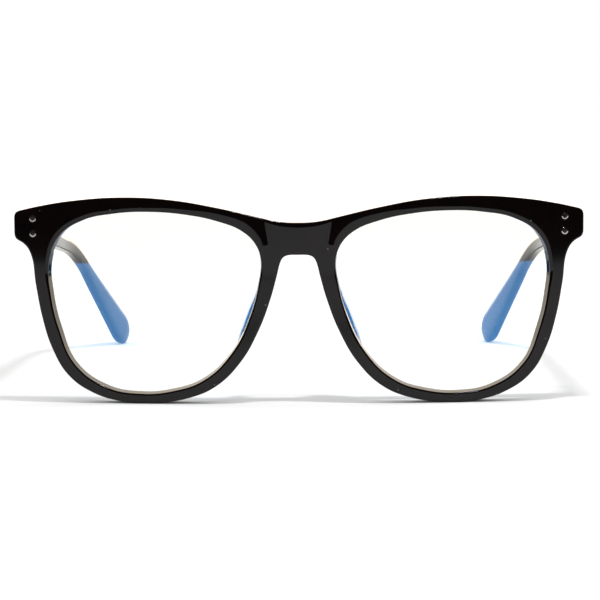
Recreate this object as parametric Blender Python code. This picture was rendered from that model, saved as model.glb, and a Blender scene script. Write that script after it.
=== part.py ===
"""Full-rim plastic glasses with riveted hinges, lenses, nose pads and folding temples.

The glasses stand as they do on a table: open, on the bottoms of the two rims and the
two temple tips.  X runs across the front (+X is the wearer's left), the front looks
towards -Y, +Z is up, and z = 0 is the table.  Sizes below are in millimetres.
"""
import math

import bmesh
import bpy
from mathutils import Matrix, Vector

MM = 0.001
FRONT_Y = -67.08        # foremost point of the front, at the middle of the bridge
GAP = 0.3                # clearance between neighbouring pieces

# Front
FRONT_THICKNESS = 4.9
FRONT_EDGE = 0.45        # chamfer along every edge of the front
FRONT_BOW = 420.0        # radius of the front seen from above
FRONT_STEPS = 2          # straight pieces in each stretch of the outline
FRONT_STRIP = 9.0        # width of the upright strips that let the front take the bow
END_BACK = 9.5           # flat back of the end pieces, behind the bridge

# Lenses
LENS_THICKNESS = 1.5
LENS_DEPTH = 2.4         # front of the lens behind the front of the rim
LENS_SEAT = 0.6          # how far the lens edge reaches into its groove
LENS_MIDDLE = (36.1, 25.4)
LENS_HALF = (26.9, 22.9)
LENS_STEPS = 3
LENS_STRIP = 6.5         # the same for the lenses

# Riveted hinges
RIVET_X = 66.9
RIVET_Z = (42.8, 46.6)
RIVET_SHANK = 0.5
RIVET_HEAD = 1.0
RIVET_HEAD_HEIGHT = 0.6
HINGE_X = 66.7
HINGE_Y = 12.2
HINGE_Z = 44.7
BARREL_RADIUS = 1.3
BARREL_HEIGHT = 1.7
PIN_RADIUS = 0.5
LEAF_THICKNESS = 0.8
LEAF_HEIGHT = 6.6
TEMPLE_LEAF_HEIGHT = 4.4
TEMPLE_RIVETS = (17.0, 21.6)

# Temples
TEMPLE_X = 70.05         # middle of the butt end
TEMPLE_Z = 44.8
TEMPLE_LENGTH = 137.45
TEMPLE_THICKNESS = 3.0
BUTT_HEIGHT = 7.0
SHAFT_HEIGHT = 3.8
PADDLE_HEIGHT = 9.0
SHAFT_SLOPE = 8.2        # degrees down towards the back
TIP_SLOPE = 41.0         # degrees down behind the ear
SHAFT_TOE = 1.0          # degrees inwards
TIP_TOE = 20.7
BEND_START = 77.0
BEND_LENGTH = 28.0
SLIMMEST = 64.0          # where the shaft has come down to its least height
PADDLE_START = 100.5
TIP_ROUNDING = 7.0

# Nose pads
PAD_MIDDLE = (10.9, 6.2, 24.0)
PAD_HALF = (1.7, 5.8, 11.4)
PAD_LEAN = 18.5          # degrees from upright, wider apart at the bottom
PAD_FLARE = 18.0         # degrees outwards towards the back
PAD_FRONT = 5.6          # flat that meets the back of the rim

SMOOTH = "AUTO"
CORNER = "VECTOR"

# Outside of the front from the middle of the brow round the +X side to the underside
# of the bridge: x, z and whether the outline is smooth or turns a corner there.
OUTSIDE = [
    (0.0, 45.55, SMOOTH), (5.0, 45.85, SMOOTH), (10.0, 47.0, SMOOTH),
    (20.0, 49.3, SMOOTH), (32.0, 51.35, SMOOTH), (44.2, 52.0, SMOOTH),
    (56.4, 51.2, SMOOTH), (64.5, 49.95, SMOOTH), (71.2, 48.45, CORNER),
    (71.7, 47.8, CORNER), (71.7, 42.1, CORNER), (71.2, 41.3, CORNER),
    (69.5, 40.5, SMOOTH), (67.8, 38.3, SMOOTH), (66.4, 29.8, SMOOTH),
    (64.9, 21.7, SMOOTH), (62.4, 13.7, SMOOTH), (58.4, 7.0, SMOOTH),
    (52.3, 2.7, SMOOTH), (45.0, 0.45, SMOOTH), (40.4, -0.04, CORNER),
    (35.8, -0.04, CORNER), (28.0, 1.35, SMOOTH), (21.2, 4.2, SMOOTH),
    (14.9, 10.2, SMOOTH), (10.2, 18.2, SMOOTH), (7.1, 26.2, SMOOTH),
    (5.4, 32.2, SMOOTH), (4.2, 36.0, SMOOTH), (2.2, 37.35, SMOOTH),
    (0.0, 37.5, SMOOTH),
]

# Opening of the +X rim, from its top out to the end piece, down and back round.
OPENING = [
    (38.1, 48.35), (46.2, 47.9), (54.3, 46.15), (60.4, 42.0), (62.9, 35.8),
    (62.6, 27.8), (60.4, 18.15), (56.6, 9.75), (48.5, 4.0), (40.1, 2.5),
    (32.1, 3.15), (24.0, 5.95), (16.9, 12.7), (12.1, 22.2), (9.9, 30.5),
    (9.35, 36.2), (10.7, 40.2), (14.0, 43.45), (20.0, 45.9), (28.0, 47.6),
]

SIDES = (("left", 1), ("right", -1))


def clear_scene():
    for thing in list(bpy.data.objects):
        bpy.data.objects.remove(thing, do_unlink=True)


def new_collection(name):
    group = bpy.data.collections.new(name)
    bpy.context.scene.collection.children.link(group)
    return group


def new_material(name, colour, roughness, metallic=0.0):
    made = bpy.data.materials.new(name)
    made.use_nodes = True
    shader = made.node_tree.nodes["Principled BSDF"]
    shader.inputs["Base Color"].default_value = (*colour, 1.0)
    shader.inputs["Roughness"].default_value = roughness
    shader.inputs["Metallic"].default_value = metallic
    made.diffuse_color = (*colour, 1.0)
    return made


def place(x, y, z):
    """A point in metres from millimetres, y counted back from the front."""
    return Vector((x * MM, (FRONT_Y + y) * MM, z * MM))


def hinge_point(side):
    return place(side * HINGE_X, HINGE_Y, HINGE_Z)


def keep(thing, group, finish=None):
    """Put a thing in its collection; the cutters' collection stays out of sight."""
    for old in list(thing.users_collection):
        old.objects.unlink(thing)
    group.objects.link(thing)
    if finish is not None:
        thing.data.materials.clear()
        thing.data.materials.append(finish)
    if group is cutters:
        thing.hide_render = True
        thing.display_type = "WIRE"
    return thing


def turn_on(thing, point):
    """Put a thing's origin on a point without moving its surface."""
    offset = Vector(point) - thing.location
    turned = thing.rotation_euler.to_matrix().inverted() @ offset
    thing.data.transform(Matrix.Translation(-turned))
    thing.location = point


def mesh_object(name, bm, group, finish=None):
    data = bpy.data.meshes.new(name)
    bmesh.ops.recalc_face_normals(bm, faces=bm.faces)
    bm.to_mesh(data)
    bm.free()
    thing = bpy.data.objects.new(name, data)
    bpy.context.scene.collection.objects.link(thing)
    return keep(thing, group, finish)


def box(name, low, high, group, finish=None):
    """A box between two corners given in millimetres behind the front."""
    a = place(*low)
    b = place(*high)
    bpy.ops.mesh.primitive_cube_add(size=1.0, location=(a + b) / 2)
    thing = bpy.context.object
    thing.name = name
    size = [abs(b[i] - a[i]) for i in range(3)]
    thing.data.transform(Matrix.Diagonal((*size, 1.0)))
    return keep(thing, group, finish)


def rod(name, point, radius, length, along, group, finish=None, sides=16):
    """A cylinder centred on a point, lying along X, Y or Z."""
    turn = {"X": (0, math.pi / 2, 0), "Y": (math.pi / 2, 0, 0), "Z": (0, 0, 0)}[along]
    bpy.ops.mesh.primitive_cylinder_add(vertices=sides, radius=radius * MM,
                                        depth=length * MM, location=place(*point),
                                        rotation=turn)
    thing = bpy.context.object
    thing.name = name
    return keep(thing, group, finish)


def boolean(thing, tool, operation):
    step = thing.modifiers.new(operation.title() + "_" + tool.name, "BOOLEAN")
    step.operation = operation
    step.solver = "EXACT"
    step.object = tool


def cut(thing, tool):
    boolean(thing, tool, "DIFFERENCE")


def join(thing, tool):
    boolean(thing, tool, "UNION")


def bezier_loop(curve, knots):
    spline = curve.splines.new("BEZIER")
    spline.bezier_points.add(len(knots) - 1)
    for point, (x, z, kind) in zip(spline.bezier_points, knots):
        point.co = (x * MM, z * MM, 0.0)
        point.handle_left_type = kind
        point.handle_right_type = kind
    spline.use_cyclic_u = True


def outline_solid(name, loops, front, thickness, edge, steps):
    """A bmesh of a standing plate with the given outlines, still flat."""
    curve = bpy.data.curves.new(name, "CURVE")
    curve.dimensions = "2D"
    curve.fill_mode = "BOTH"
    curve.resolution_u = steps
    curve.render_resolution_u = 0
    curve.extrude = (thickness / 2 - edge) * MM
    curve.bevel_depth = edge * MM
    curve.bevel_resolution = 0
    curve.offset = -edge * MM
    for loop in loops:
        bezier_loop(curve, loop)
    plate = bpy.data.objects.new(name, curve)
    bpy.context.scene.collection.objects.link(plate)
    plate.rotation_euler = (math.pi / 2, 0, 0)
    plate.location = place(0, front + thickness / 2, 0)
    bpy.context.view_layer.update()
    seen = plate.evaluated_get(bpy.context.evaluated_depsgraph_get())
    data = bpy.data.meshes.new_from_object(seen)
    data.transform(plate.matrix_world)
    bm = bmesh.new()
    bm.from_mesh(data)
    bmesh.ops.remove_doubles(bm, verts=bm.verts, dist=0.00001)
    bpy.data.objects.remove(plate, do_unlink=True)
    bpy.data.curves.remove(curve)
    bpy.data.meshes.remove(data)
    return bm


def bow(bm, strip):
    """Curve a flat plate back towards its ends, as the front is seen from above."""
    bmesh.ops.dissolve_limit(bm, angle_limit=math.radians(0.1), verts=bm.verts, edges=bm.edges)
    reach = max(abs(vert.co.x) for vert in bm.verts)
    count = int(reach / (strip * MM))
    for i in range(-count, count + 1):
        everything = bm.verts[:] + bm.edges[:] + bm.faces[:]
        bmesh.ops.bisect_plane(bm, geom=everything, dist=0.000001,
                               plane_co=(i * strip * MM, 0, 0), plane_no=(1, 0, 0))
    for vert in bm.verts:
        vert.co.y += vert.co.x ** 2 / (2 * FRONT_BOW * MM)


def opening(side, grow=0.0):
    """The opening's knots, widened all round by a distance in millimetres."""
    knots = []
    for x, z in OPENING:
        x = LENS_MIDDLE[0] + (x - LENS_MIDDLE[0]) * (1 + grow / LENS_HALF[0])
        z = LENS_MIDDLE[1] + (z - LENS_MIDDLE[1]) * (1 + grow / LENS_HALF[1])
        knots.append((side * x, z, SMOOTH))
    return knots


def front_outline():
    mirrored = [(-x, z, kind) for x, z, kind in reversed(OUTSIDE[1:-1])]
    return OUTSIDE + mirrored


def lens_solid(name, side, grow, front, thickness, group, finish=None):
    bm = outline_solid(name, [opening(side, grow)], front, thickness, 0.0, LENS_STEPS)
    bow(bm, LENS_STRIP)
    return mesh_object(name, bm, group, finish)


def smooth_step(t):
    t = min(max(t, 0.0), 1.0)
    return t * t * (3 - 2 * t)


def temple_height(s):
    """Height of the temple at a distance along it: butt, slim shaft, paddle tip."""
    if s < SLIMMEST:
        height = BUTT_HEIGHT + (SHAFT_HEIGHT - BUTT_HEIGHT) * (s / SLIMMEST) ** 0.55
    else:
        t = (s - PADDLE_START) / (TEMPLE_LENGTH - TIP_ROUNDING - PADDLE_START)
        height = SHAFT_HEIGHT + (PADDLE_HEIGHT - SHAFT_HEIGHT) * min(max(t, 0.0), 1.0)
    end = (s - (TEMPLE_LENGTH - TIP_ROUNDING)) / TIP_ROUNDING
    if end > 0:
        height *= max(math.sqrt(max(1 - end * end, 0.0)), 0.25)
    return height


def temple_rings(side):
    """Eight-cornered sections of the temple from the butt to the tip."""
    stops = [0, 6, 14, 24, 36, 48, 60, 70, 76, 80, 84, 88, 92, 96, 100, 104, 108, 114, 120]
    stops += [TEMPLE_LENGTH - back for back in (9, 7, 5, 3, 1.8, 0.8, 0)]
    rings = []
    point = Vector((TEMPLE_X, END_BACK + GAP, TEMPLE_Z))
    s = 0.0
    step = 0.2
    for stop in stops:
        while s < stop - step / 2:
            turn = smooth_step((s - BEND_START) / BEND_LENGTH)
            slope = math.radians(SHAFT_SLOPE + (TIP_SLOPE - SHAFT_SLOPE) * turn)
            turn = smooth_step((s - BEND_START + 11) / (BEND_LENGTH + 17))
            toe = math.radians(SHAFT_TOE + (TIP_TOE - SHAFT_TOE) * turn)
            ahead = Vector((-math.sin(toe) * math.cos(slope),
                            math.cos(toe) * math.cos(slope), -math.sin(slope)))
            point = point + ahead * step
            s += step
        if stop == 0:
            across = Vector((1, 0, 0))
            up = Vector((0, 0, 1))
        else:
            across = Vector((math.cos(toe), math.sin(toe), 0))
            up = across.cross(ahead)
        half_up = temple_height(stop) / 2
        half_across = TEMPLE_THICKNESS / 2
        if stop > TEMPLE_LENGTH - 2:
            half_across *= 0.75
        chamfer = min(0.7, half_up * 0.5)
        ring = []
        corners = [
            (half_across, half_up - chamfer), (half_across - chamfer, half_up),
            (chamfer - half_across, half_up), (-half_across, half_up - chamfer),
            (-half_across, chamfer - half_up), (chamfer - half_across, -half_up),
            (half_across - chamfer, -half_up), (half_across, chamfer - half_up),
        ]
        for a, b in corners:
            spot = point + across * a + up * b
            ring.append(place(side * spot.x, spot.y, spot.z))
        rings.append(ring)
    return rings


def temple_solid(name, side, group, finish):
    bm = bmesh.new()
    loops = [[bm.verts.new(p) for p in ring] for ring in temple_rings(side)]
    count = len(loops[0])
    for near, far in zip(loops, loops[1:]):
        for i in range(count):
            j = (i + 1) % count
            bm.faces.new((near[i], near[j], far[j], far[i]))
    bm.faces.new(loops[0])
    bm.faces.new(loops[-1])
    return mesh_object(name, bm, group, finish)


clear_scene()
glasses = new_collection("glasses")
cutters = new_collection("cutters")

black = new_material("gloss_black_plastic", (0.006, 0.006, 0.007), 0.12)
clear_lens = new_material("coated_lens", (0.62, 0.78, 0.95), 0.03)
steel = new_material("hinge_steel", (0.45, 0.45, 0.46), 0.28, 1.0)
bright = new_material("rivet_steel", (0.55, 0.55, 0.56), 0.18, 1.0)

# Front
loops = [front_outline(), opening(1), opening(-1)]
plate = outline_solid("front_frame", loops, 0.0, FRONT_THICKNESS, FRONT_EDGE, FRONT_STEPS)
for vert in plate.verts:
    vert.co.z = max(vert.co.z, 0.0)
bow(plate, FRONT_STRIP)
front = mesh_object("front_frame", plate, glasses, black)
for label, side in SIDES:
    groove = lens_solid("groove_" + label, side, LENS_SEAT + GAP, LENS_DEPTH - GAP,
                        LENS_THICKNESS + 2 * GAP, cutters)
    cut(front, groove)
    back = box("end_back_" + label, (side * 58.0, END_BACK, -1), (side * 74.0, 14, 56), cutters)
    cut(front, back)

# Lenses
for label, side in SIDES:
    lens_solid("lens_" + label, side, LENS_SEAT, LENS_DEPTH, LENS_THICKNESS, glasses, clear_lens)

# Nose pads
for label, side in SIDES:
    bpy.ops.mesh.primitive_uv_sphere_add(segments=20, ring_count=12, radius=1.0)
    pad = bpy.context.object
    pad.name = "nose_pad_" + label
    pad.data.transform(Matrix.Diagonal((*(h * MM for h in PAD_HALF), 1.0)))
    pad.rotation_euler = (0, math.radians(-side * PAD_LEAN), math.radians(-side * PAD_FLARE))
    pad.location = place(side * PAD_MIDDLE[0], PAD_MIDDLE[1], PAD_MIDDLE[2])
    keep(pad, glasses, black)
    face = box("pad_face_" + label, (0, -12, 0), (side * 30, PAD_FRONT, 50), cutters)
    cut(pad, face)

# Hinges
pitch = BARREL_HEIGHT + GAP
leaf_back = END_BACK + GAP + LEAF_THICKNESS
for label, side in SIDES:
    leaf = box("front_hinge_" + label,
               (side * 65.0, END_BACK + GAP, HINGE_Z - LEAF_HEIGHT / 2),
               (side * 68.1, leaf_back, HINGE_Z + LEAF_HEIGHT / 2), glasses, steel)
    for level, end in ((-1, "low"), (1, "high")):
        z = HINGE_Z + level * pitch
        web = box("web_" + end + "_" + label,
                  (side * (HINGE_X - 0.7), leaf_back - 0.4, z - BARREL_HEIGHT / 2),
                  (side * (HINGE_X + 0.7), HINGE_Y, z + BARREL_HEIGHT / 2), cutters)
        barrel = rod("barrel_" + end + "_" + label, (side * HINGE_X, HINGE_Y, z),
                     BARREL_RADIUS, BARREL_HEIGHT, "Z", cutters, sides=24)
        join(leaf, web)
        join(leaf, barrel)
    bore = rod("pin_bore_" + label, (side * HINGE_X, HINGE_Y, HINGE_Z),
               PIN_RADIUS + GAP, 12, "Z", cutters)
    cut(leaf, bore)

    swing = rod("temple_hinge_" + label, (side * HINGE_X, HINGE_Y, HINGE_Z),
                BARREL_RADIUS, BARREL_HEIGHT, "Z", glasses, steel, 24)
    arm = box("hinge_arm_" + label, (side * 67.3, HINGE_Y - 0.1, HINGE_Z - 0.45),
              (side * 67.95, HINGE_Y + 3, HINGE_Z + 0.45), cutters)
    flap = box("hinge_flap_" + label, (side * 67.2, HINGE_Y + 2, HINGE_Z - TEMPLE_LEAF_HEIGHT / 2),
               (side * 68.0, HINGE_Y + 11.5, HINGE_Z + TEMPLE_LEAF_HEIGHT / 2), cutters)
    for piece in (arm, flap):
        turn_on(piece, hinge_point(side))
        piece.rotation_euler = (math.radians(-SHAFT_SLOPE), 0, math.radians(side * SHAFT_TOE))
        join(swing, piece)
    cut(swing, bore)

    screw = rod("hinge_screw_" + label, (side * HINGE_X, HINGE_Y, HINGE_Z),
                PIN_RADIUS, 3 * pitch + 0.6, "Z", glasses, steel)
    head_z = HINGE_Z + 1.5 * pitch + 0.35
    head = rod("screw_head_" + label, (side * HINGE_X, HINGE_Y, head_z), 1.0, 0.5, "Z", cutters)
    join(screw, head)

# Rivets through the end pieces and the front leaves
for label, side in SIDES:
    leaf = bpy.data.objects["front_hinge_" + label]
    face = RIVET_X ** 2 / (2 * FRONT_BOW)
    for z, level in zip(RIVET_Z, ("low", "high")):
        end = leaf_back - GAP
        rivet = rod("front_rivet_" + level + "_" + label,
                    (side * RIVET_X, (face + end) / 2, z), RIVET_SHANK, end - face, "Y",
                    glasses, bright)
        dome = rod("dome_" + level + "_" + label, (side * RIVET_X, face + 0.1, z),
                   RIVET_HEAD, RIVET_HEAD_HEIGHT, "Y", cutters)
        join(rivet, dome)
        hole = rod("rivet_hole_" + level + "_" + label,
                   (side * RIVET_X, leaf_back - 6, z), RIVET_SHANK + GAP, 12, "Y", cutters)
        sink = rod("rivet_sink_" + level + "_" + label, (side * RIVET_X, face, z),
                   RIVET_HEAD + GAP, 2 * (RIVET_HEAD_HEIGHT / 2 + 0.1 + GAP), "Y", cutters)
        cut(front, hole)
        cut(front, sink)
        cut(leaf, hole)

# Temples with their rivets
for label, side in SIDES:
    temple = temple_solid("temple_" + label, side, glasses, black)
    swing = bpy.data.objects["temple_hinge_" + label]
    for y, level in zip(TEMPLE_RIVETS, ("fore", "aft")):
        z = HINGE_Z - math.tan(math.radians(SHAFT_SLOPE)) * (y - HINGE_Y)
        shift = math.tan(math.radians(SHAFT_TOE)) * (y - END_BACK)
        outer = TEMPLE_X + TEMPLE_THICKNESS / 2 - shift
        inner = 67.2 + 0.2 - shift
        rivet = rod("temple_rivet_" + level + "_" + label,
                    (side * (outer + inner) / 2, y, z), RIVET_SHANK, outer - inner, "X",
                    glasses, bright)
        dome = rod("temple_dome_" + level + "_" + label, (side * (outer - 0.2), y, z),
                   RIVET_HEAD, RIVET_HEAD_HEIGHT, "X", cutters)
        join(rivet, dome)
        hole = rod("temple_hole_" + level + "_" + label, (side * outer, y, z),
                   RIVET_SHANK + GAP, 16, "X", cutters)
        sink = rod("temple_sink_" + level + "_" + label, (side * outer, y, z),
                   RIVET_HEAD + GAP, 2 * (0.5 + GAP), "X", cutters)
        cut(temple, hole)
        cut(temple, sink)
        cut(swing, hole)

# Each temple turns with its leaf and rivets about the hinge screw
for label, side in SIDES:
    pivot = bpy.data.objects.new("temple_pivot_" + label, None)
    pivot.location = hinge_point(side)
    pivot.empty_display_size = 0.01
    glasses.objects.link(pivot)
    turn_on(bpy.data.objects["temple_" + label], hinge_point(side))
    for start in ("temple_", "temple_hinge_", "temple_rivet_fore_", "temple_rivet_aft_"):
        piece = bpy.data.objects[start + label]
        piece.parent = pivot
        piece.matrix_parent_inverse = Matrix.Translation(-hinge_point(side))
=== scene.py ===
"""Looks for the blue light glasses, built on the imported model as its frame.

Lengths are in millimetres until a point goes into a mesh.  A point of the glasses is
(x, depth, z): x to the wearer's left, depth back from the foremost point of the front,
and z up from the table.
"""

import math

import bmesh
import bpy
import numpy as np
from mathutils import Matrix, Vector
from mathutils.geometry import delaunay_2d_cdt, interpolate_bezier


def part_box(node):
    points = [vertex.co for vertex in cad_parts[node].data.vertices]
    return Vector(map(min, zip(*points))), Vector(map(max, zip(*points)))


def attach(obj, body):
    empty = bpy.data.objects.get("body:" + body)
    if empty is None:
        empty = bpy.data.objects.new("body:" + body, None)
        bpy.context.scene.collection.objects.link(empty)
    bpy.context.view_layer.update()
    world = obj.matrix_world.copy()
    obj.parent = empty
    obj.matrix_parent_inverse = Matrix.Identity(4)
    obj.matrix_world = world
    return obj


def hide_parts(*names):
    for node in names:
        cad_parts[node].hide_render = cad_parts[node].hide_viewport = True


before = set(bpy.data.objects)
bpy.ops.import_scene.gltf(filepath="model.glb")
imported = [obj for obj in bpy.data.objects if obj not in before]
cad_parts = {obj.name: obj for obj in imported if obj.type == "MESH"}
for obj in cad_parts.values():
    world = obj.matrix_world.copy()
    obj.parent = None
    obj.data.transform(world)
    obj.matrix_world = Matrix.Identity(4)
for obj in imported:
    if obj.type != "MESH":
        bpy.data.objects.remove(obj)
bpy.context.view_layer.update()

MM = 0.001
FRONT_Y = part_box("front_frame")[0].y / MM
FRONT_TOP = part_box("front_frame")[1].z / MM
SIDES = (("left", 1), ("right", -1))
UP = (0, 0, 1)

# Front
THICKNESS = 4.9
BOW = 420.0              # radius of the front seen from above
END_BACK = 9.5           # flat back of the end pieces
STEP = 0.6               # spacing of points along the outlines
GRID = 1.2               # spacing of points inside them
OUTLINE_RUN = 25         # points taken from each stretch of an outline
SMOOTHINGS = 2           # times the even points of an outline are smoothed
EDGE_TURNS = 6           # faces across a rounded edge
SUPPORT = 0.12           # flat margin beside an edge that keeps its reflection crisp
BROAD_EDGE = 0.8         # front edges broader than this have the depth that follows
BROAD_DEPTH = 0.48
EDGE_SHAPE = 0.85        # depth of the other front edges for each mm of width
BACK_EDGE = 0.4
RELIEF_DEPTH = 1.2       # depth at which the front's relief has faded out

# Bridge plate, the set-back middle of the front
PLATE_WAIST = 39.7       # height at which it is narrowest
PLATE_HALF = 7.9         # half its width there
PLATE_SPREAD = (0.16, 0.9)      # how fast it widens above and below its waist
PLATE_EDGE = 0.4
PLATE_TILT = 2.0         # degrees
PLATE_TOP = 47.0
PLATE_DROP = 14.0        # the tilt ends this far below the top
PLATE_FADE = (4.0, 22.0)        # fades in from this height upwards over this distance
CREST = 0.08             # extra set-back across the middle
CREST_FADE = (5.9, 2.2)

# Inner wall of the rims: how far it is drawn in for each mm of depth
DRAFT = 0.03
DRAFT_SIDES = 0.05       # added below the height that follows
SIDES_TOP = 38.0
DRAFT_LOW = 0.09         # added along the bottom
LOW_FADE = (6.0, 14.0)
DRAFT_TEMPLE = 0.19      # added on the temple's side
TEMPLE_FADE = (36.0, 16.0)
TOP_FADE = (40.0, 6.0)
DRAFT_BEHIND = 0.17      # how fast it opens again behind the lens
WALL_SUPPORT = 0.1       # share of the wall kept flat next to its front edge

# Points that shape the front face: along the brow's edge and the plate's
BROW_LINE = (44.40, 0.06, 0.0125)
BROW_STOPS = (0.35, 8.0, 0.5)
BROW_OFFSETS = (0.22, 0.62)
RIDGE_STOPS = (27.0, 45.2, 0.35)
RIDGE_OFFSETS = (-0.5, -0.32, -0.2, -0.08, 0.1)

# Lenses
LENS_FRONT = 2.4
LENS_BACK = 3.9
LENS_SEAT = 0.6
LENS_BEVEL = 0.2
GROOVE = 0.75            # depth of the lens groove in the wall
GROOVE_PLAY = 0.08       # between the lens and the sides of its groove
LENS_GRID = 2.5

# Rivets and hinges
RIVET_X = 66.9
RIVET_Z = (42.8, 46.6)
SEAT_RADIUS = 1.0        # round seat of a rivet head in the front face
SEAT_DEPTH = 0.3
SEAT_EDGE = 0.12
SEAT_RINGS = ((0.75, 12), (0.98, 28), (1.03, 28), (1.08, 28), (1.14, 28), (1.4, 24))
RIVET_SIDES = 36
HINGE = (66.7, 12.2, 44.7)
BARREL_RADIUS = 1.3
BARREL_HEIGHT = 1.7
BARREL_EDGE = 0.14
BORE_RADIUS = 0.56
BORE_HALF = 5.0          # the cutter for the bore reaches past every knuckle
PITCH = 2.0
LEAF_X = (65.0, 68.1)
LEAF_FRONT = 9.8
LEAF_BACK = 10.6
LEAF_HALF = 3.3
PLATE_ROUNDING = 0.14    # rounded edge of the hinge plates
FLAP_X = (67.2, 68.0)
TEMPLE_RIVETS = (17.0, 21.6)
RIVET_SINK = 0.1         # temple rivets start this far below the outer face

# Temples
TEMPLE_START = (70.05, 9.8, 44.8)
TEMPLE_LENGTH = 137.45
TEMPLE_HALF = 1.5
BUTT_HEIGHT = 7.0
SHAFT_HEIGHT = 3.8
PADDLE_HEIGHT = 9.0
SLIMMEST = 64.0          # where the shaft has come down to its least height
PADDLE_START = 100.5
TIP_ROUNDING = 7.0
SHAFT_SLOPE = 8.2        # degrees down towards the back
TIP_SLOPE = 41.0
SHAFT_TOE = 1.0          # degrees inwards
TIP_TOE = 20.7
BEND_START = 77.0
BEND_LENGTH = 28.0
TOE_LEAD = 11.0          # the bend inwards starts this far before the bend down
TOE_EXTRA = 17.0         # and is this much longer
BUTT_TURN = 6.0          # the square butt turns into the slope over this length
BUTT_EDGE = 0.45
BUTT_EDGE_LENGTH = 0.6
TEMPLE_AROUND = 40
BUTT_POWER = 4.2         # squareness of the section at the butt
POWER_DROP = 1.1         # and how much rounder it is past the bend
POWER_FADE = (50.0, 50.0)

# Nose pads
PAD_MIDDLE = (11.05, 6.2, 23.6)
PAD_HALF = (1.4, 5.6, 13.3)
PAD_LEAN = 20.2          # degrees from upright, wider apart at the bottom
PAD_FLARE = 10.0         # degrees outwards towards the back
PAD_BLUNT = 4.5          # how blunt its ends are
PAD_TAPER = 0.16         # share of its size lost at the top
PAD_SINK = 0.15          # how far it reaches into the back of the rim
PAD_ALONG, PAD_AROUND = 40, 48

AUTO = "AUTO"
VECTOR = "VECTOR"

# Outside of the front: x, z, kind of knot and width of the rounded front edge there.
OUTSIDE = [
    (0.0, 45.55, AUTO, 1.15), (5.0, 45.85, AUTO, 0.95), (10.0, 47.0, AUTO, 0.45),
    (20.0, 49.3, AUTO, 0.45), (32.0, 51.35, AUTO, 0.45), (44.2, 52.0, AUTO, 0.45),
    (56.4, 51.2, AUTO, 0.45), (64.5, 49.95, AUTO, 0.45), (71.2, 48.45, VECTOR, 0.45),
    (71.7, 47.8, VECTOR, 0.3), (71.7, 42.1, VECTOR, 0.25), (71.2, 41.3, VECTOR, 0.22),
    (69.5, 40.5, AUTO, 0.22), (67.8, 38.3, AUTO, 0.25), (66.4, 29.8, AUTO, 0.45),
    (64.9, 21.7, AUTO, 0.5), (62.4, 13.7, AUTO, 0.5), (58.4, 7.0, AUTO, 0.5),
    (52.3, 2.7, AUTO, 0.45), (45.0, 0.45, AUTO, 0.45), (40.4, -0.04, VECTOR, 0.45),
    (35.8, -0.04, VECTOR, 0.45), (28.0, 1.35, AUTO, 0.45), (21.2, 4.2, AUTO, 0.45),
    (14.9, 10.2, AUTO, 0.5), (10.2, 18.2, AUTO, 0.5), (7.1, 26.2, AUTO, 0.5),
    (5.4, 32.2, AUTO, 0.4), (4.5, 35.7, AUTO, 0.4), (3.85, 36.95, AUTO, 0.4),
    (2.6, 37.45, AUTO, 0.4), (0.0, 37.5, AUTO, 0.4),
]

# Opening of the +X rim: x, z and width of its rounded front edge, broad along the top
# and broadest beside the bridge.
OPENING = [
    (38.1, 48.35, 1.0), (46.2, 47.9, 1.0), (54.3, 46.15, 1.1), (60.4, 42.0, 1.2),
    (62.9, 35.8, 0.9), (62.6, 27.8, 0.6), (60.4, 18.15, 0.5), (56.6, 9.75, 0.45),
    (48.5, 4.0, 0.45), (40.1, 2.5, 0.45), (32.1, 3.15, 0.45), (24.0, 5.95, 0.45),
    (16.9, 12.7, 0.4), (12.1, 22.2, 0.4), (9.9, 30.5, 0.4), (9.35, 36.2, 0.7),
    (10.7, 40.2, 2.0), (14.0, 43.45, 2.5), (20.0, 45.9, 2.0), (28.0, 47.6, 1.3),
]


# Shapes

def smooth_step(t):
    t = np.clip(t, 0.0, 1.0)
    return t * t * (3 - 2 * t)


def fade(value, start, length):
    """0 up to a start, 1 beyond a length from there, smooth between."""
    return smooth_step((value - start) / length)


def place(point):
    """A point of the glasses, in millimetres, as a point in metres."""
    return Vector((point[0] * MM, (FRONT_Y + point[1]) * MM, point[2] * MM))


def closed_outline(knots):
    """Even points along a closed outline of (x, z, kind, value), and a value for each."""
    curve = bpy.data.curves.new("outline", "CURVE")
    spline = curve.splines.new("BEZIER")
    spline.bezier_points.add(len(knots) - 1)
    for point, (x, z, kind, _) in zip(spline.bezier_points, knots):
        point.co = (x, z, 0.0)
        point.handle_left_type = kind
        point.handle_right_type = kind
    spline.use_cyclic_u = True
    thing = bpy.data.objects.new("outline", curve)
    bpy.context.scene.collection.objects.link(thing)
    bpy.context.view_layer.update()
    points = []
    values = []
    ends = list(spline.bezier_points)
    for i, (a, b) in enumerate(zip(ends, ends[1:] + ends[:1])):
        run = interpolate_bezier(a.co, a.handle_right, b.handle_left, b.co,
                                 OUTLINE_RUN)[:-1]
        near, far = knots[i][3], knots[(i + 1) % len(knots)][3]
        for k, p in enumerate(run):
            points.append((p.x, p.y))
            values.append(near + (far - near) * k / len(run))
    bpy.data.objects.remove(thing, do_unlink=True)
    bpy.data.curves.remove(curve)
    points = np.array(points + points[:1])
    values = np.array(values + values[:1])
    lengths = np.linalg.norm(np.diff(points, axis=0), axis=1)
    along = np.concatenate([[0.0], np.cumsum(lengths)])
    count = int(round(along[-1] / STEP))
    stops = np.arange(count) * along[-1] / count
    even = np.column_stack([np.interp(stops, along, points[:, k]) for k in (0, 1)])
    for _ in range(SMOOTHINGS):
        even = (np.roll(even, 1, axis=0) + 2 * even + np.roll(even, -1, axis=0)) / 4
    return even, np.interp(stops, along, values)


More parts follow.
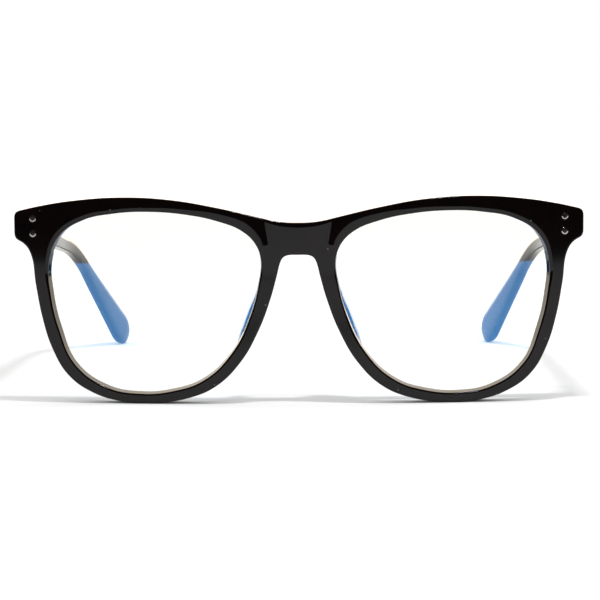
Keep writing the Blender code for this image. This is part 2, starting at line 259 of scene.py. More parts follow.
def into_material(loop, hole):
    """Unit vectors from an outline into the plastic."""
    ahead = np.roll(loop, -1, axis=0) - np.roll(loop, 1, axis=0)
    ahead /= np.linalg.norm(ahead, axis=1)[:, None]
    x, z = loop[:, 0], loop[:, 1]
    area = np.sum(x * np.roll(z, -1) - np.roll(x, -1) * z)
    inward = np.column_stack([-ahead[:, 1], ahead[:, 0]]) * math.copysign(1, area)
    return -inward if hole else inward


def inside(points, loop):
    """Which points lie inside a closed loop."""
    x, z = points[:, 0][:, None], points[:, 1][:, None]
    ax, az = loop[:, 0][None], loop[:, 1][None]
    bx, bz = np.roll(loop[:, 0], -1)[None], np.roll(loop[:, 1], -1)[None]
    crosses = (az > z) != (bz > z)
    with np.errstate(divide="ignore", invalid="ignore"):
        at = ax + (z - az) * (bx - ax) / (bz - az)
    return (np.sum(crosses & (x < at), axis=1) % 2) == 1


def in_plastic(points, loops, holes):
    """Which points lie inside the outlines and outside the holes."""
    kept = np.zeros(len(points), bool)
    for loop, hole in zip(loops, holes):
        if not hole:
            kept |= inside(points, loop)
    for loop, hole in zip(loops, holes):
        if hole:
            kept &= ~inside(points, loop)
    return kept


def grid_points(loops, holes, spacing, clear):
    """A triangular grid of points inside the loops and clear of their edges."""
    every = np.vstack(loops)
    low, high = every.min(axis=0), every.max(axis=0)
    rows = []
    z = low[1]
    shift = 0.0
    while z < high[1]:
        x = np.arange(low[0] + shift, high[0], spacing)
        rows.append(np.column_stack([x, np.full(len(x), z)]))
        shift = spacing / 2 - shift
        z += spacing * 0.866
    grid = np.vstack(rows)
    grid = grid[in_plastic(grid, loops, holes)]
    far = np.array([np.min(np.sum((every - p) ** 2, axis=1)) for p in grid])
    return grid[far > clear * clear]


def fill(loops, holes, spacing, extra=None):
    """Points and triangles that fill the loops; the loops' own points come first."""
    grid = grid_points(loops, holes, spacing, spacing * 0.6)
    if extra is not None:
        near = np.array([np.min(np.sum((extra - p) ** 2, axis=1)) for p in grid])
        grid = np.vstack([grid[near > (spacing * 0.5) ** 2], extra])
    points = np.vstack([*loops, grid])
    edges = []
    start = 0
    for loop in loops:
        count = len(loop)
        edges += [(start + i, start + (i + 1) % count) for i in range(count)]
        start += count
    made, _, faces, origin, _, _ = delaunay_2d_cdt(
        [Vector(p) for p in points], edges, [], 0, 1e-5)
    index = [o[0] if o else None for o in origin]
    middles = np.array([sum((made[i] for i in f), Vector((0, 0))) / 3 for f in faces])
    triangles = []
    for face, keep in zip(faces, in_plastic(middles, loops, holes)):
        if keep and all(index[i] is not None for i in face):
            triangles.append([index[i] for i in face])
    return points, triangles


def skin(bm, loops):
    """Faces between each ring of points and the next."""
    for near, far in zip(loops, loops[1:]):
        for i in range(len(near)):
            j = (i + 1) % len(near)
            bm.faces.new((near[i], near[j], far[j], far[i]))


def new_object(name, bm):
    data = bpy.data.meshes.new(name)
    bm.to_mesh(data)
    bm.free()
    thing = bpy.data.objects.new(name, data)
    bpy.context.scene.collection.objects.link(thing)
    return thing


def finish_mesh(name, bm, material, sharp=40.0):
    """A mesh object from bm, smooth but for edges that turn by more than sharp degrees."""
    bmesh.ops.recalc_face_normals(bm, faces=bm.faces)
    for face in bm.faces:
        face.smooth = True
    for edge in bm.edges:
        if len(edge.link_faces) == 2:
            edge.smooth = edge.calc_face_angle(0.0) < math.radians(sharp)
    thing = new_object(name, bm)
    thing.data.materials.append(material)
    return thing


def stand_for(thing, body, slot, *nodes):
    """Put a thing in the place of CAD nodes and on a body; the slot argument is not used."""
    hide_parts(*nodes)
    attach(thing, body)


# Front

def bowed(x, depth, z, back):
    """A point of the flat front after it takes its bow; the ends stay flat behind."""
    depth = depth + x * x / (2 * BOW)
    if back:
        depth = np.minimum(depth, END_BACK)
    return np.column_stack([x, depth, z])


def shoulder(z):
    """Half the width of the bridge plate at a height."""
    above, below = PLATE_SPREAD
    return np.where(z > PLATE_WAIST, PLATE_HALF + above * (z - PLATE_WAIST),
                    PLATE_HALF + below * (PLATE_WAIST - z))


def relief(x, z):
    """How far the front face is set back: the bridge plate and the rivet seats."""
    reach = np.abs(x)
    across = 1 - smooth_step((reach - shoulder(z) + PLATE_EDGE) / PLATE_EDGE)
    crest_start, crest_length = CREST_FADE
    crest = CREST * (1 - np.clip((reach - crest_start) / crest_length, 0.0, 1.0))
    tilt = math.tan(math.radians(PLATE_TILT))
    plate = crest + tilt * np.clip(PLATE_TOP - z, 0.0, PLATE_DROP)
    set_back = across * plate * fade(z, *PLATE_FADE)
    for level in RIVET_Z:
        from_rivet = np.hypot(reach - RIVET_X, z - level)
        set_back = set_back + SEAT_DEPTH * (1 - fade(from_rivet, SEAT_RADIUS, SEAT_EDGE))
    return set_back


def wall_ring(loop, into, depth):
    """The inner wall: drawn in towards the lens in front of it, opening again behind."""
    x, z = loop[:, 0], loop[:, 1]
    low = 1 - fade(z, *LOW_FADE)
    temple_side = fade(np.abs(x), *TEMPLE_FADE) * (1 - fade(z, *TOP_FADE))
    draft = (DRAFT + DRAFT_SIDES * (z < SIDES_TOP) + DRAFT_LOW * low
             + DRAFT_TEMPLE * temple_side * (1 - low))
    drawn = draft * min(depth, LENS_FRONT) - DRAFT_BEHIND * max(depth - LENS_FRONT, 0.0)
    return loop - into * drawn[:, None]


def front_rings(loop, widths, hole):
    """Rings from the front face round the edge to the back, as (x, z), depth, is back."""
    into = into_material(loop, hole)
    rise = np.where(widths > BROAD_EDGE, BROAD_DEPTH, widths * EDGE_SHAPE)
    rings = [(loop + into * (widths[:, None] + SUPPORT), np.zeros(len(loop)), False)]
    for k in range(EDGE_TURNS + 1):
        turn = math.pi / 2 * k / EDGE_TURNS
        ring = loop + into * widths[:, None] * (1 - math.sin(turn))
        rings.append((ring, rise * (1 - math.cos(turn)), False))
    if hole:
        lip, back_lip = LENS_FRONT - SUPPORT, LENS_BACK + SUPPORT
        edge = wall_ring(loop, into, lip)
        rings.append((loop + (edge - loop) * WALL_SUPPORT,
                      rise + (lip - rise) * WALL_SUPPORT, False))
        for ring, depth in ((edge, lip),
                            (loop + into * GROOVE, LENS_FRONT - GROOVE_PLAY),
                            (loop + into * GROOVE, LENS_BACK + GROOVE_PLAY),
                            (wall_ring(loop, into, back_lip), back_lip)):
            rings.append((ring, np.full(len(loop), depth), False))
    for k in range(EDGE_TURNS - 1, -1, -1):
        turn = math.pi / 2 * k / (EDGE_TURNS - 1)
        depth = THICKNESS - BACK_EDGE * (1 - math.cos(turn))
        ring = wall_ring(loop, into, depth) if hole else loop
        rings.append((ring + into * BACK_EDGE * (1 - math.sin(turn)),
                      np.full(len(loop), depth), True))
    return rings


def shaping_points():
    """Extra points of the front face where its relief turns."""
    sets = []
    middle, slant, curve = BROW_LINE
    for side in (1, -1):
        ridge = np.arange(*RIDGE_STOPS)
        brow = np.arange(*BROW_STOPS)
        for off in BROW_OFFSETS:
            level = middle + curve * brow ** 2 + slant * brow - off - SUPPORT
            sets.append(np.column_stack([side * brow, level]))
        for off in RIDGE_OFFSETS:
            sets.append(np.column_stack([side * (shoulder(ridge) + off), ridge]))
        for level in RIVET_Z:
            for radius, count in SEAT_RINGS:
                turn = np.arange(count) * 2 * math.pi / count + 0.02
                sets.append(np.column_stack([side * RIVET_X + radius * np.cos(turn),
                                             level + radius * np.sin(turn)]))
    return np.vstack(sets)


def build_front(material):
    outline = OUTSIDE + [(-x, z, kind, w) for x, z, kind, w in reversed(OUTSIDE[1:-1])]
    outer, outer_widths = closed_outline(outline)
    opening, opening_widths = closed_outline([(x, z, AUTO, w) for x, z, w in OPENING])
    outer[:, 1] = np.clip(outer[:, 1], 0.0, FRONT_TOP)
    mirrored = opening * (-1, 1)
    all_rings = [front_rings(outer, outer_widths, False),
                 front_rings(opening, opening_widths, True),
                 front_rings(mirrored, opening_widths, True)]
    bm = bmesh.new()

    def add(points, depth, back):
        x, z = points[:, 0], np.maximum(points[:, 1], 0.0)
        if not back:
            depth = depth + relief(x, z) * np.clip(1 - depth / RELIEF_DEPTH, 0.0, 1.0)
        return [bm.verts.new(place(p)) for p in bowed(x, depth, z, back)]

    fronts, backs = [], []
    for rings in all_rings:
        made = [add(*ring) for ring in rings]
        skin(bm, made)
        fronts.append(made[0])
        backs.append(made[-1])
    holes = [False, True, True]
    for verts, ring, back, extra in ((fronts, 0, False, shaping_points()),
                                     (backs, -1, True, None)):
        loops = [rings[ring][0] for rings in all_rings]
        points, triangles = fill(loops, holes, GRID, extra)
        known = [v for loop in verts for v in loop]
        inner = points[len(known):]
        depth = np.full(len(inner), THICKNESS if back else 0.0)
        known += add(inner, depth, back)
        for corners in triangles:
            bm.faces.new([known[i] for i in corners])
    thing = finish_mesh("front_shell", bm, material)
    stand_for(thing, "front", "frame", "front_frame")


# Lenses

def build_lens(label, side, material):
    loop, _ = closed_outline([(x, z, AUTO, 0.0) for x, z, _ in OPENING])
    loop = loop + into_material(loop, True) * LENS_SEAT
    loop[:, 0] *= side
    inward = into_material(loop, False)
    bm = bmesh.new()

    def add(points, depth):
        depth = np.full(len(points), depth)
        curved = bowed(points[:, 0], depth, points[:, 1], False)
        return [bm.verts.new(place(p)) for p in curved]

    face = loop + inward * LENS_BEVEL
    rings = [add(face, LENS_FRONT), add(loop, LENS_FRONT + LENS_BEVEL),
             add(loop, LENS_BACK - LENS_BEVEL), add(face, LENS_BACK)]
    skin(bm, rings)
    points, triangles = fill([face], [False], LENS_GRID)
    for known, depth in ((rings[0], LENS_FRONT), (rings[-1], LENS_BACK)):
        known = known + add(points[len(known):], depth)
        for corners in triangles:
            bm.faces.new([known[i] for i in corners])
    thing = finish_mesh("lens_sheet_" + label, bm, material, 30.0)
    stand_for(thing, "front", "lens", "lens_" + label)


# Nose pads

def build_pad(label, side, material):
    """A drop-shaped pad, fullest low down, grown onto the back of the rim."""
    lean = Matrix.Rotation(math.radians(-side * PAD_LEAN), 3, "Y")
    flare = Matrix.Rotation(math.radians(-side * PAD_FLARE), 3, "Z")
    middle = Vector((side * PAD_MIDDLE[0], PAD_MIDDLE[1], PAD_MIDDLE[2]))
    bm = bmesh.new()

    def settle(local):
        """A vertex of the pad; where it meets the rim it spreads onto the rim's back."""
        point = middle + flare @ (lean @ local)
        base = THICKNESS - PAD_SINK + point.x ** 2 / (2 * BOW)
        point.y = max(point.y, base)
        return bm.verts.new(place(point))

    loops = []
    for i in range(1, PAD_ALONG):
        up = math.cos(math.pi * i / PAD_ALONG)
        full = math.sqrt(1 - abs(up) ** PAD_BLUNT)
        size = full * (1.0 - PAD_TAPER * (0.5 + 0.5 * up) ** 2)
        turns = [2 * math.pi * k / PAD_AROUND for k in range(PAD_AROUND)]
        loops.append([settle(Vector((PAD_HALF[0] * size * math.cos(turn),
                                     PAD_HALF[1] * size * math.sin(turn),
                                     PAD_HALF[2] * up))) for turn in turns])
    ends = (settle(Vector((0, 0, PAD_HALF[2]))), settle(Vector((0, 0, -PAD_HALF[2]))))
    skin(bm, loops)
    for loop, end in ((loops[0], ends[0]), (loops[-1], ends[1])):
        for k in range(PAD_AROUND):
            bm.faces.new((loop[k], loop[(k + 1) % PAD_AROUND], end))
    thing = finish_mesh("pad_drop_" + label, bm, material, 60.0)
    stand_for(thing, "front", "pad", "nose_pad_" + label)


# Turned and flat metal

def turned(bm, profile, centre, axis, sides=40):
    """A turned solid: profile is (radius, place along the axis) from end to end."""
    axis = Vector(axis).normalized()
    first = axis.orthogonal().normalized()
    second = axis.cross(first)
    centre = Vector(centre)
    loops = []
    for radius, along in profile:
        if radius == 0:
            loops.append([bm.verts.new(place(centre + axis * along))])
            continue
        loop = []
        for k in range(sides):
            turn = 2 * math.pi * k / sides
            out = first * math.cos(turn) + second * math.sin(turn)
            loop.append(bm.verts.new(place(centre + axis * along + out * radius)))
        loops.append(loop)
    for near, far in zip(loops, loops[1:]):
        for k in range(sides):
            n = (k + 1) % sides
            if len(near) == 1:
                bm.faces.new((near[0], far[n], far[k]))
            elif len(far) == 1:
                bm.faces.new((near[k], near[n], far[0]))
            else:
                bm.faces.new((near[k], near[n], far[n], far[k]))


def slab(bm, low, high, radius, edge, turn=None, pivot=None, thin="Y"):
    """A plate with rounded corners and edges between two corners, thin along one axis."""
    u, v, w = {"X": (1, 2, 0), "Y": (0, 2, 1), "Z": (0, 1, 2)}[thin]
    mid = [(low[i] + high[i]) / 2 for i in range(3)]
    half = [abs(high[i] - low[i]) / 2 for i in range(3)]
    corner_faces, edge_faces = 6, 3

    def ring(inset, level):
        points = []
        r = max(radius - inset, 0.02)
        hu, hv = half[u] - inset, half[v] - inset
        for quarter, (su, sv) in enumerate(((1, 1), (-1, 1), (-1, -1), (1, -1))):
            for k in range(corner_faces + 1):
                angle = math.pi / 2 * (quarter + k / corner_faces)
                point = [0.0, 0.0, 0.0]
                point[u] = mid[u] + su * (hu - r) + r * math.cos(angle)
                point[v] = mid[v] + sv * (hv - r) + r * math.sin(angle)
                point[w] = mid[w] + level
                point = Vector(point)
                if turn is not None:
                    point = turn @ (point - Vector(pivot)) + Vector(pivot)
                points.append(bm.verts.new(place(point)))
        return points

    bends = [math.pi / 2 * k / edge_faces for k in range(edge_faces + 1)]
    rings = [ring(edge * (1 - math.sin(a)), half[w] - edge * (1 - math.cos(a)))
             for a in bends]
    rings += [ring(edge * (1 - math.sin(a)), -half[w] + edge * (1 - math.cos(a)))
              for a in reversed(bends)]
    skin(bm, rings)
    bm.faces.new(rings[0])
    bm.faces.new(list(reversed(rings[-1])))


def solid(name, make, *args, **kwargs):
    """A scratch object for joining or cutting."""
    bm = bmesh.new()
    make(bm, *args, **kwargs)
    bmesh.ops.recalc_face_normals(bm, faces=bm.faces)
    return new_object(name, bm)


def combined(name, base, joined, removed, material):
    """One mesh from solids joined to and cut from a base."""
    steps = [(tool, "UNION") for tool in joined] + [(tool, "DIFFERENCE") for tool in removed]
    for tool, operation in steps:
        step = base.modifiers.new(tool.name, "BOOLEAN")
        step.operation = operation
        step.solver = "EXACT"
        step.object = tool
    bpy.context.view_layer.update()
    seen = base.evaluated_get(bpy.context.evaluated_depsgraph_get())
    data = bpy.data.meshes.new_from_object(seen)
    bm = bmesh.new()
    bm.from_mesh(data)
    bmesh.ops.remove_doubles(bm, verts=bm.verts, dist=0.000002)
    bpy.data.meshes.remove(data)
    for old in (base, *joined, *removed):
        mesh = old.data
        bpy.data.objects.remove(old, do_unlink=True)
        bpy.data.meshes.remove(mesh)
    return finish_mesh(name, bm, material, 32.0)


def barrel(point):
    half = BARREL_HEIGHT / 2
    edge, rounding = BARREL_EDGE, 0.04
    profile = [(0, -half), (BARREL_RADIUS - edge, -half),
               (BARREL_RADIUS - rounding, -half + rounding),
               (BARREL_RADIUS, -half + edge), (BARREL_RADIUS, half - edge),
               (BARREL_RADIUS - rounding, half - rounding),
               (BARREL_RADIUS - edge, half), (0, half)]
    return solid("barrel", turned, profile, point, UP)


def bore(point):
    profile = [(0, -BORE_HALF), (BORE_RADIUS, -BORE_HALF), (BORE_RADIUS, BORE_HALF),
               (0, BORE_HALF)]
    return solid("bore", turned, profile, point, UP)


def build_hinge(label, side, body, steel):
    """The front leaf with two knuckles, the temple's leaf with one, and the screw."""
    pivot = (side * HINGE[0], HINGE[1], HINGE[2])
    x, depth, z = pivot
    leaf = solid("leaf", slab, (side * LEAF_X[0], LEAF_FRONT, z - LEAF_HALF),
                 (side * LEAF_X[1], LEAF_BACK, z + LEAF_HALF), 0.7, PLATE_ROUNDING)
    parts = []
    for level in (-1, 1):
        at = z + level * PITCH
        parts.append(solid("web", slab, (x - 0.72, LEAF_BACK - 0.5, at - 0.82),
                           (x + 0.72, depth, at + 0.82), 0.1, 0.08, thin="Z"))
        parts.append(barrel((x, depth, at)))
    thing = combined("hinge_leaf_" + label, leaf, parts, [bore(pivot)], steel)
    stand_for(thing, "front", "hinge", "front_hinge_" + label)

    turn = (Matrix.Rotation(math.radians(side * SHAFT_TOE), 3, "Z")
            @ Matrix.Rotation(math.radians(-SHAFT_SLOPE), 3, "X"))
    knuckle = barrel(pivot)
    arm = solid("arm", slab, (side * 67.3, depth - 0.2, z - 0.5),
                (side * 67.95, depth + 3.2, z + 0.5), 0.1, 0.08, turn, pivot, thin="X")
    flap = solid("flap", slab, (side * FLAP_X[0], depth + 2.0, z - 2.2),
                 (side * FLAP_X[1], depth + 11.5, z + 2.2), 0.8, PLATE_ROUNDING, turn, pivot,
                 thin="X")
    thing = combined("hinge_swing_" + label, knuckle, [arm, flap], [bore(pivot)], steel)
    stand_for(thing, body, "hinge", "temple_hinge_" + label)

    top = 3 * PITCH / 2 + 0.1
    profile = [(0, -top - 0.15), (0.32, -top - 0.15), (0.5, -top), (0.5, top),
               (0.98, top + 0.02), (1.0, top + 0.12), (0.97, top + 0.26), (0.86, top + 0.38),
               (0.62, top + 0.46), (0.3, top + 0.49), (0, top + 0.5)]
    screw = solid("screw", turned, profile, pivot, UP)
    slot = solid("slot", slab, (x - 1.2, depth - 0.13, z + top + 0.24),
                 (x + 1.2, depth + 0.13, z + top + 0.8), 0.05, 0.02, thin="Z")
    thing = combined("screw_pin_" + label, screw, [], [slot], steel)
    stand_for(thing, "front", "hinge", "hinge_screw_" + label)


# Profiles of a rivet's ringed head and closed end: radius, and distance outwards
HEAD = [(0, 0.2), (0.35, 0.2), (0.54, 0.2), (0.6, 0.197), (0.66, 0.182), (0.73, 0.148),
        (0.79, 0.1), (0.85, 0.03), (0.9, -0.05), (0.94, -0.14), (0.965, -0.24), (0.97, -0.35)]
TAIL = [(0.5, 0.0), (0.74, 0.0), (0.8, 0.06), (0.76, 0.16), (0.6, 0.25), (0.35, 0.3),
        (0, 0.31)]
NECK = (0.5, 0.36)       # where the shank starts under the head


def build_rivet(name, node, body, face, tail, axis, steel):
    """A rivet with a ringed head at face and a closed head at tail."""
    axis = Vector(axis).normalized()
    face, tail = Vector(face), Vector(tail)
    length = (tail - face).dot(axis)
    profile = [(r, -a) for r, a in HEAD] + [NECK]
    profile += [(r, length + a) for r, a in TAIL]
    bm = bmesh.new()
    turned(bm, profile, face, axis, RIVET_SIDES)
    thing = finish_mesh(name, bm, steel, 50.0)
    stand_for(thing, body, "rivet", node)


# Temples

def temple_height(s):
    """Height of the temple at a distance along it: butt, slim shaft, paddle tip."""
    if s < SLIMMEST:
        height = BUTT_HEIGHT + (SHAFT_HEIGHT - BUTT_HEIGHT) * (s / SLIMMEST) ** 0.55
    else:
        t = (s - PADDLE_START) / (TEMPLE_LENGTH - TIP_ROUNDING - PADDLE_START)
        height = SHAFT_HEIGHT + (PADDLE_HEIGHT - SHAFT_HEIGHT) * min(max(t, 0.0), 1.0)
    end = (s - (TEMPLE_LENGTH - TIP_ROUNDING)) / TIP_ROUNDING
    if end > 0:
        height *= max(math.sqrt(max(1 - end * end, 0.0)), 0.04)
    return height


def build_temple(label, side, body, material):
    """Rounded sections followed along the temple's bend, as the CAD follows it."""
    stops = [0.0, 0.12, 0.3, BUTT_EDGE_LENGTH]
    stops += [float(v) for v in np.arange(1.2, TEMPLE_LENGTH - 6.0, 1.2)]
    stops += [TEMPLE_LENGTH - TIP_ROUNDING * (1 - math.sin(a))
              for a in np.linspace(0.15, math.pi / 2, 14)]
    point = Vector(TEMPLE_START)
    s = 0.0
    step = 0.1
    bm = bmesh.new()
    loops = []
    for stop in stops:
        while s < stop - step / 2:
            turn = float(fade(s, BEND_START, BEND_LENGTH))
            slope = math.radians(SHAFT_SLOPE + (TIP_SLOPE - SHAFT_SLOPE) * turn)
            turn = float(fade(s, BEND_START - TOE_LEAD, BEND_LENGTH + TOE_EXTRA))
            toe = math.radians(SHAFT_TOE + (TIP_TOE - SHAFT_TOE) * turn)
            ahead = Vector((-math.sin(toe) * math.cos(slope),
                            math.cos(toe) * math.cos(slope), -math.sin(slope)))
            point = point + ahead * step
            s += step
        if stop == 0:
            slope = math.radians(SHAFT_SLOPE)
            toe = math.radians(SHAFT_TOE)
        level = float(smooth_step(stop / BUTT_TURN))
        across = Vector((math.cos(toe * level), math.sin(toe * level), 0))
        forward = Vector((-math.sin(toe * level) * math.cos(slope * level),
                          math.cos(toe * level) * math.cos(slope * level),
                          -math.sin(slope * level)))
        up = across.cross(forward)
        half_up = temple_height(stop) / 2
        half_across = TEMPLE_HALF
        end = (stop - (TEMPLE_LENGTH - TIP_ROUNDING)) / TIP_ROUNDING
        if end > 0:
            half_across *= max(math.sqrt(max(1 - end ** 4, 0.0)), 0.04)
        round_off = BUTT_EDGE * (1 - min(stop / BUTT_EDGE_LENGTH, 1.0)) ** 2
        half_up -= round_off
        half_across -= round_off
        power = BUTT_POWER - POWER_DROP * float(fade(stop, *POWER_FADE))
        ring = []
        for k in range(TEMPLE_AROUND):
            turn = 2 * math.pi * (k + 0.5) / TEMPLE_AROUND
            c, q = math.cos(turn), math.sin(turn)
            a = math.copysign(abs(c) ** (2 / power), c) * half_across
            b = math.copysign(abs(q) ** (2 / power), q) * half_up
            spot = point + across * a + up * b
            ring.append(bm.verts.new(place((side * spot.x, spot.y, max(spot.z, 0.0)))))
        loops.append(ring)
    skin(bm, loops)
    bm.faces.new(loops[0])
    bm.faces.new(list(reversed(loops[-1])))
    thing = finish_mesh("temple_arm_" + label, bm, material, 60.0)
    stand_for(thing, body, "temple", "temple_" + label)


# Materials

class Nodes:
    """Adds nodes to the emptied tree of a new material or world."""

    def __init__(self, owner, output="ShaderNodeOutputMaterial"):
        self.owner = owner
        owner.use_nodes = True
        self.tree = owner.node_tree
        self.tree.nodes.clear()
        self.output = self.add(output)

    def add(self, kind, inputs=(), **settings):
        node = self.tree.nodes.new(kind)
        for key, value in settings.items():
            setattr(node, key, value)
        for key, value in dict(inputs).items():
            if isinstance(value, bpy.types.NodeSocket):
                self.tree.links.new(value, node.inputs[key])
            else:
                node.inputs[key].default_value = value
        return node

    def finish(self, shader):
        """Show a shader node, and give back the material or world."""
        self.tree.links.new(shader.outputs[0], self.output.inputs[0])
        return self.owner

    def spot(self):
        return self.add("ShaderNodeTexCoord").outputs["Object"]

    def noise(self, scale, detail=2.0, stretch=None):
        spot = self.spot()
        if stretch:
            spot = self.add("ShaderNodeMapping", {"Vector": spot, "Scale": stretch}).outputs[0]
        return self.add("ShaderNodeTexNoise", {"Vector": spot, "Scale": scale,
                                               "Detail": detail}).outputs["Fac"]

    def ramp(self, value, low, high, a, b):
        return self.add("ShaderNodeMapRange", {"Value": value, "From Min": low,
                                               "From Max": high, "To Min": a,
                                               "To Max": b}).outputs[0]

    def mix(self, factor, a, b):
        """A colour mix; its colour sockets are 6 and 7 in and 2 out."""
        return self.add("ShaderNodeMix", {0: factor, 6: a, 7: b}, data_type="RGBA").outputs[2]

    def sum(self, a, b, operation="ADD"):
        return self.add("ShaderNodeMath", {0: a, 1: b}, operation=operation).outputs[0]

    def bump(self, height, strength, distance):
        return self.add("ShaderNodeBump", {"Height": height, "Strength": strength,
                                           "Distance": distance}).outputs[0]


DUST = (0.32, 0.30, 0.28, 1)
CLEAR = (0.998, 0.99, 0.945, 1)         # passes a little less blue
COATING = ((0.006, 0.063, 0.170, 1), (0.008, 0.069, 0.180, 1))


def plastic(name, dark, warm, rough, level):
    """Polished black plastic: faint warm cast, uneven polish, hairlines and dust."""
    n = Nodes(bpy.data.materials.new(name))
    cast = n.ramp(n.noise(140.0, 3.0), 0.35, 0.7, 0.0, 1.0)
    colour = n.mix(cast, (*dark, 1), (*warm, 1))
    cells = n.add("ShaderNodeTexVoronoi", {"Vector": n.spot(), "Scale": 260.0})
    dust = n.ramp(cells.outputs["Distance"], 0.045, 0.025, 0.0, 0.6)
    colour = n.mix(dust, colour, DUST)
    polish = n.ramp(n.noise(60.0, 4.0), 0.3, 0.75, rough * 0.8, rough * 1.35)
    hairs = n.noise(900.0, 2.0, (1.0, 1.0, 9.0))
    lines = n.ramp(hairs, 0.66, 0.78, 0.0, 0.05)
    roughness = n.sum(polish, lines)
    roughness = n.sum(roughness, dust, "MAXIMUM")
    texture = n.noise(420.0, 2.0)
    shader = n.add("ShaderNodeBsdfPrincipled", {
        "Base Color": colour, "Roughness": roughness, "Specular IOR Level": level,
        "Normal": n.bump(texture, 0.06, 0.00001)})
    return n.finish(shader)


def coated_lens(name):
    """Clear lens with a faint warm tint and a coating that reflects blue."""
    n = Nodes(bpy.data.materials.new(name))
    clear = n.add("ShaderNodeBsdfTransparent", {"Color": CLEAR})
    film = n.ramp(n.noise(24.0, 2.0), 0.3, 0.7, 0.0, 1.0)
    blue = n.mix(film, *COATING)
    rough = n.ramp(n.noise(300.0, 3.0), 0.4, 0.8, 0.012, 0.03)
    gloss = n.add("ShaderNodeBsdfGlossy", {"Color": blue, "Roughness": rough})
    both = n.add("ShaderNodeAddShader", {0: clear.outputs[0], 1: gloss.outputs[0]})
    return n.finish(both)


def metal(name, light, dark, rough, stretch, depth):
    """Steel with drawn or polished grain and darker handled patches."""
    n = Nodes(bpy.data.materials.new(name))
    grain = n.noise(5000.0, 2.0, stretch)
    wear = n.noise(700.0, 3.0)
    colour = n.mix(n.ramp(wear, 0.35, 0.7, 0.0, 1.0), (*light, 1), (*dark, 1))
    roughness = n.sum(n.ramp(grain, 0.3, 0.7, rough * 0.7, rough * 1.3),
                      n.ramp(wear, 0.4, 0.8, 0.0, 0.08))
    shader = n.add("ShaderNodeBsdfPrincipled", {
        "Base Color": colour, "Metallic": 1.0, "Roughness": roughness,
        "Normal": n.bump(grain, 0.25, depth)})
    return n.finish(shader)


frame_black = plastic("frame_black", (0.0014, 0.0010, 0.0010), (0.0034, 0.0015, 0.0016),
                      0.055, 0.28)
temple_black = plastic("temple_black", (0.0040, 0.0034, 0.0032), (0.0070, 0.0052, 0.0048),
                       0.15, 0.5)
pad_black = plastic("pad_black", (0.0035, 0.0030, 0.0030), (0.0060, 0.0042, 0.0040),
                    0.14, 0.5)
lens_coated = coated_lens("lens_coated")
hinge_steel = metal("hinge_steel", (0.55, 0.54, 0.53), (0.36, 0.35, 0.345),
                    0.26, (1.0, 1.0, 0.06), 0.00001)
rivet_steel = metal("rivet_steel", (0.50, 0.47, 0.48), (0.30, 0.27, 0.28),
                    0.07, (1.0, 0.3, 1.0), 0.000004)

# The pieces

build_front(frame_black)
for label, side in SIDES:
    body = label + "_temple"
    build_lens(label, side, lens_coated)
    build_pad(label, side, pad_black)
    build_hinge(label, side, body, hinge_steel)
    build_temple(label, side, body, temple_black)
    face = RIVET_X ** 2 / (2 * BOW)
    for level, z in zip(("low", "high"), RIVET_Z):
        build_rivet("stud_" + level + "_" + label, "front_rivet_" + level + "_" + label,
                    "front", (side * RIVET_X, face, z), (side * RIVET_X, LEAF_BACK, z),
                    (0, 1, 0), rivet_steel)
    for level, depth in zip(("fore", "aft"), TEMPLE_RIVETS):
        z = HINGE[2] - math.tan(math.radians(SHAFT_SLOPE)) * (depth - HINGE[1])
        shift = math.tan(math.radians(SHAFT_TOE)) * (depth - END_BACK)
        outer = TEMPLE_START[0] + TEMPLE_HALF - RIVET_SINK - shift
        build_rivet("stud_" + level + "_" + label, "temple_rivet_" + level + "_" + label,
                    body, (side * outer, depth, z), (side * (FLAP_X[0] - shift), depth, z),
                    (-side, 0, 0), rivet_steel)

# Camera

EYE = (0.0091, FRONT_Y * MM - 0.6, 0.087)
TARGET = (0.000375, FRONT_Y * MM, 0.02625)
ROLL = 0.36              # degrees
FOCAL_LENGTH = 144.75
SENSOR = 36.0

eye = Vector(EYE)
forward = (Vector(TARGET) - eye).normalized()
right = forward.cross(Vector(UP)).normalized()
upward = right.cross(forward)
roll = math.radians(ROLL)
across = right * math.cos(roll) - upward * math.sin(roll)
upright = upward * math.cos(roll) + right * math.sin(roll)
lens = bpy.data.cameras.new("camera")
lens.sensor_width = SENSOR
lens.lens = FOCAL_LENGTH
lens.clip_start = 0.01
lens.clip_end = 50.0
camera = bpy.data.objects.new("camera", lens)
bpy.context.scene.collection.objects.link(camera)
turned_to = Matrix((across, upright, -forward)).transposed().to_4x4()
camera.matrix_world = Matrix.Translation(eye) @ turned_to
bpy.context.scene.camera = camera

# Floor, in metres

FLOOR_REACH = 0.38       # how far the white table comes towards the camera
FLOOR_HALF = 1.3
FLOOR_BACK = 2.6
FLOOR_LEVEL = -0.00004
# Painted light: the floor's own glow, rising away from the glasses and towards the back
FAR_GLOW = (0.1, 0.28, 0.0, 0.12)       # by distance from the middle: from, to, glow there
BACK_GLOW = (-0.02, 0.08, 0.0, 0.13)    # by distance back

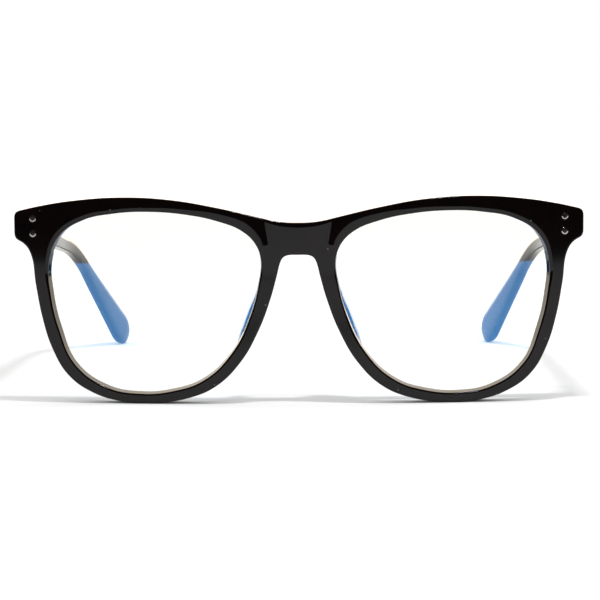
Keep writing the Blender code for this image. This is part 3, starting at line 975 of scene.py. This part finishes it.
floor_bm = bmesh.new()
near_edge = FRONT_Y * MM - FLOOR_REACH
corners = [(-FLOOR_HALF, near_edge), (FLOOR_HALF, near_edge),
           (FLOOR_HALF, FLOOR_BACK), (-FLOOR_HALF, FLOOR_BACK)]
floor_bm.faces.new([floor_bm.verts.new((x, y, FLOOR_LEVEL)) for x, y in corners])
bmesh.ops.subdivide_edges(floor_bm, edges=floor_bm.edges, cuts=6, use_grid_fill=True)
paper = Nodes(bpy.data.materials.new("floor_paper"))
tone = paper.ramp(paper.noise(7.0, 3.0), 0.3, 0.7, 0.0, 1.0)
colour = paper.mix(tone, (0.86, 0.86, 0.858, 1), (0.88, 0.88, 0.879, 1))
away = paper.add("ShaderNodeVectorMath", {0: paper.spot()}, operation="LENGTH")
deep = paper.add("ShaderNodeSeparateXYZ", {0: paper.spot()})
# Painted light: the paper glows more with distance from the glasses and towards the back, in
# place of a lamp lighting the far floor
painted_glow = paper.sum(paper.ramp(away.outputs["Value"], *FAR_GLOW),
                  paper.ramp(deep.outputs[1], *BACK_GLOW))
matte = paper.add("ShaderNodeBsdfPrincipled", {
    "Base Color": colour, "Roughness": 0.9, "Specular IOR Level": 0.0,
    "Emission Color": (1, 1, 1, 1), "Emission Strength": painted_glow})
floor = finish_mesh("floor", floor_bm, paper.finish(matte))

# Light: reflections see a dark room in front and a warm bright one behind

GLOSS_COLOUR = (1.0, 0.89, 0.79, 1)
GLOSS_BRIGHTNESS = (0.1, 0.6, 0.02, 2.6)    # by direction: from, to, strength at each
DOME_COLOUR = (1.0, 0.998, 0.995, 1)
DOME_STRENGTH = 0.93
KEY_SIZE = (0.05, 0.014)
KEY_WATTS = 0.58
KEY_PLACE = (0.060, FRONT_Y * MM - 0.045, 0.38)

bpy.context.scene.world = bpy.data.worlds.new("studio")
sky = Nodes(bpy.context.scene.world, "ShaderNodeOutputWorld")
way = sky.add("ShaderNodeTexCoord").outputs["Generated"]
behind = sky.ramp(sky.add("ShaderNodeSeparateXYZ", {0: way}).outputs[1], *GLOSS_BRIGHTNESS)
gloss = sky.add("ShaderNodeBackground", {"Strength": behind, "Color": GLOSS_COLOUR})
dome = sky.add("ShaderNodeBackground", {"Strength": DOME_STRENGTH, "Color": DOME_COLOUR})
seen = sky.add("ShaderNodeBackground", {"Strength": 1.0, "Color": (1, 1, 1, 1)})
path = sky.add("ShaderNodeLightPath")
mirrored = sky.add("ShaderNodeMixShader", {0: path.outputs["Is Glossy Ray"],
                                           1: dome.outputs[0], 2: gloss.outputs[0]})
sky.finish(sky.add("ShaderNodeMixShader", {0: path.outputs["Is Camera Ray"],
                                           1: mirrored.outputs[0], 2: seen.outputs[0]}))

key = bpy.data.lights.new("key", "AREA")
key.shape = "RECTANGLE"
key.size, key.size_y = KEY_SIZE
key.energy = KEY_WATTS
key_lamp = bpy.data.objects.new("key", key)
key_lamp.location = KEY_PLACE
bpy.context.scene.collection.objects.link(key_lamp)

bpy.context.scene.view_settings.view_transform = "Standard"
bpy.context.scene.view_settings.look = "None"
bpy.context.scene.view_settings.exposure = 0.0
bpy.context.scene.view_settings.gamma = 1.0
